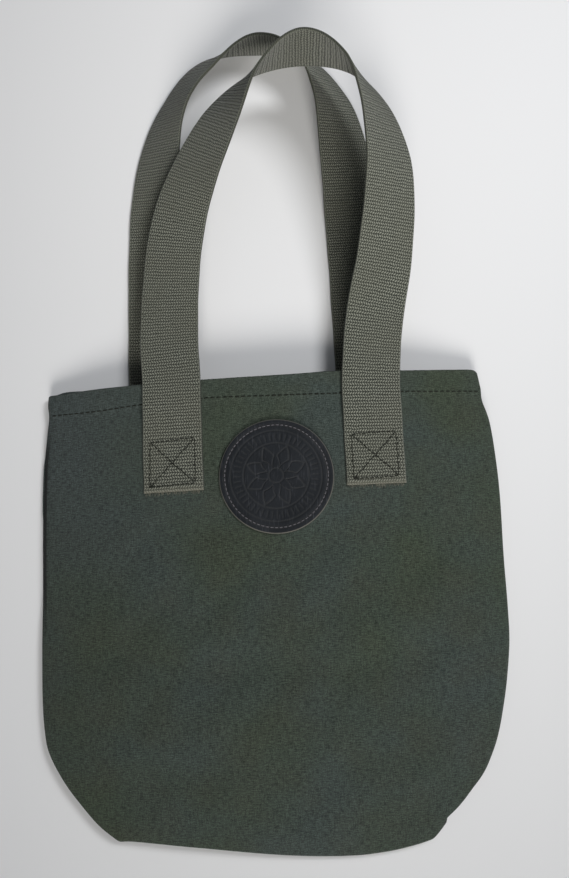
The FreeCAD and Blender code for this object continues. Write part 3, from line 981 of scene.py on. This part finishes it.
def build_patch():
    """The stitched-on disc of leather and its ring of stitches."""
    rim = PATCH_RADIUS
    profile = [(0.3, LEATHER)]
    profile += [(r, LEATHER) for r in np.arange(1.0, rim - 1.6, 0.45)]
    for a in np.radians([5, 25, 45, 65, 85]):
        profile.append((rim - PATCH_ROUNDING + PATCH_ROUNDING * math.sin(a),
                        LEATHER - PATCH_ROUNDING + PATCH_ROUNDING * math.cos(a)))
    profile += [(rim, 0.6), (rim - 0.15, 0.15), (rim - 1.5, 0.0)]
    segments = PATCH_SEGMENTS
    angle = np.linspace(0, 2 * math.pi, segments, endpoint=False)
    points, cloth = [], []
    for radius, height in profile:
        x = PATCH_CENTRE[0] + radius * np.cos(angle)
        y = PATCH_CENTRE[1] + radius * np.sin(angle)
        top = height > 1.0
        face = patch_relief(radius, angle) if top else np.zeros(segments)
        dish = -0.25 * (radius / rim) ** 4
        z = front_height(x, y) + 0.06 + height + face + dish * top
        points.append(np.stack([x, y, z], axis=1))
        # Painted highlight: the rounded rim and the lower side wall are painted pale, and the pressed lines
        # faintly so.
        on_rim = LEATHER - 0.9 < height < LEATHER - 0.05 or 0.1 < height < 1.0
        wear_and_painted_light = 0.85 if on_rim else 0.0
        wear_and_highlight = 0.09 * np.clip(-face / PRESSED, 0, 1) * top
        cloth.append(np.stack([x, y, np.maximum(wear_and_painted_light, wear_and_highlight)], axis=1))
    faces = grid_faces(len(profile), segments, 0, True)
    points = np.concatenate(points).tolist()
    cloth = np.concatenate(cloth).tolist()
    for row in (0, len(profile) - 1):
        ring = list(range(row * segments, (row + 1) * segments))
        centre = len(points)
        middle = np.mean([points[k] for k in ring], axis=0)
        points.append(middle.tolist())
        cloth.append([middle[0], middle[1], 0.0])
        faces += [(ring[k], ring[(k + 1) % segments], centre) for k in range(segments)]
    patch = add_mesh("round_patch", points, faces, cloth, LEATHER_LOOK)
    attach(patch, "bag_front")
    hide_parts("leather_patch")
    turns = np.linspace(0, 2 * math.pi, 400)
    x = PATCH_CENTRE[0] + PATCH_STITCH_RADIUS * np.cos(turns)
    y = PATCH_CENTRE[1] + PATCH_STITCH_RADIUS * np.sin(turns)
    line, ups = on_front(x, y, LEATHER - 0.22)
    ring = stitch_piece("patch_stitches", [stitch_run(line, ups, *PATCH_STITCH, 0.3)],
                        GREY_THREAD)
    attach(ring, "bag_front")
    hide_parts("patch_stitching")


# ---- bound seams inside ---------------------------------------------------------------------------------
TAPE_HALF = 3.6
TAPE_THICK = 0.85
TAPE_SIDES = 20
TAPE_INSET = 7.4                # from the bag's outline to the tape's middle


def build_bindings():
    """Tape-bound seam allowances that lie flat on the back panel's inner face, just inside the outline."""
    left = smooth_line(LEFT_SIDE[::-1], np.linspace(0, 1, 240))
    right = smooth_line(RIGHT_SIDE, np.linspace(0, 1, 240))
    bottom = smooth_line(BOTTOM, np.linspace(0, 1, 160))
    left_y = left[:, 1]
    right_y = right[:, 1]
    bottom_x = bottom[:, 0]
    spans = {
        "left_side_seam_binding": left[(left_y > -213) & (left_y < -18)],
        "left_corner_seam_binding": left[left_y < -215],
        "bottom_seam_binding": bottom[(bottom_x > -84) & (bottom_x < 82)],
        "right_corner_seam_binding": right[(right_y < -215) & (right_y > -268)],
        "right_side_seam_binding": right[(right_y > -213) & (right_y < -18)],
    }
    turn = np.linspace(0, 2 * math.pi, TAPE_SIDES, endpoint=False)
    wide = np.sign(np.cos(turn)) * np.abs(np.cos(turn)) ** 0.45
    high = np.sign(np.sin(turn)) * np.abs(np.sin(turn)) ** 0.8
    section = np.stack([TAPE_HALF * wide, TAPE_THICK * high], axis=1)
    for node, plan in spans.items():
        ahead = unit(np.gradient(plan, axis=0))
        inward = np.stack([ahead[:, 1], -ahead[:, 0]], axis=1)
        if np.sum(inward * (np.array(BAG_CENTRE) - plan)) < 0:
            inward = -inward
        middle = plan + inward * TAPE_INSET
        length = lengths_along(middle)
        rows, place = [], []
        for i in range(len(plan)):
            taper = min(1.0, 0.25 + i / 3, 0.25 + (len(plan) - 1 - i) / 3)
            flat = middle[i] + inward[i] * section[:, :1] * (0.9 + 0.1 * taper)
            z = back_height(middle[i][1]) + CANVAS + 0.15 + TAPE_THICK + section[:, 1] * taper
            z = z + 0.12 * math.sin(length[i] / 7.0)
            rows.append(np.column_stack([flat, z]))
            place.append(np.column_stack([section[:, 0], np.full(TAPE_SIDES, length[i]),
                                          np.zeros(TAPE_SIDES)]))
        piece = add_mesh(node.replace("_binding", "_tape"), np.concatenate(rows),
                         tube_faces(len(rows), TAPE_SIDES), np.concatenate(place),
                         TAPE_LOOK)
        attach(piece, "bag_back")
        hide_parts(node)


# ---- floor and light ------------------------------------------------------------------------------------
FLOOR_HALF = 4.0                # metres, as are the places of the lights


def build_stage():
    """A plain floor that reaches well past every view."""
    corners = [(x * FLOOR_HALF, y * FLOOR_HALF, 0) for x, y in ((-1, -1), (1, -1), (1, 1), (-1, 1))]
    mesh = bpy.data.meshes.new("floor")
    mesh.from_pydata(corners, [], [(0, 1, 2, 3)])
    mesh.materials.append(floor_material())
    floor = bpy.data.objects.new("floor", mesh)
    bpy.context.scene.collection.objects.link(floor)


def add_light(name, kind, at, towards, power, colour, **settings):
    data = bpy.data.lights.new(name, kind)
    data.energy = power
    data.color = colour
    for key, value in settings.items():
        setattr(data, key, value)
    light = bpy.data.objects.new(name, data)
    bpy.context.scene.collection.objects.link(light)
    light.location = Vector(at)
    light.rotation_euler = (Vector(towards) - Vector(at)).to_track_quat("-Z", "Y").to_euler()


def build_light():
    """A soft overhead light and a window-like light from the bottom side that falls off down the bag."""
    world = bpy.data.worlds.new("soft_room")
    world.use_nodes = True
    background = world.node_tree.nodes["Background"]
    background.inputs[0].default_value = (0.90, 0.95, 1.0, 1.0)
    background.inputs[1].default_value = 0.16
    bpy.context.scene.world = world
    add_light("overhead", "AREA", (0.60, 0.35, 0.90), (0.0, 0.08, 0.0), 7.0, (0.98, 0.99, 1.0),
              shape="DISK", size=0.40)
    add_light("window", "SPOT", (0.10, -1.30, 0.85), (0.02, 0.34, 0.0), 122.0, (1.0, 0.975, 0.93),
              spot_size=math.radians(40.0), spot_blend=1.0, shadow_soft_size=0.38)


make_camera()
build_canvas()
build_hem_stitches()
build_handles()
build_box_stitches()
build_patch()
build_bindings()
build_stage()
build_light()
bpy.context.scene.view_settings.view_transform = "Standard"
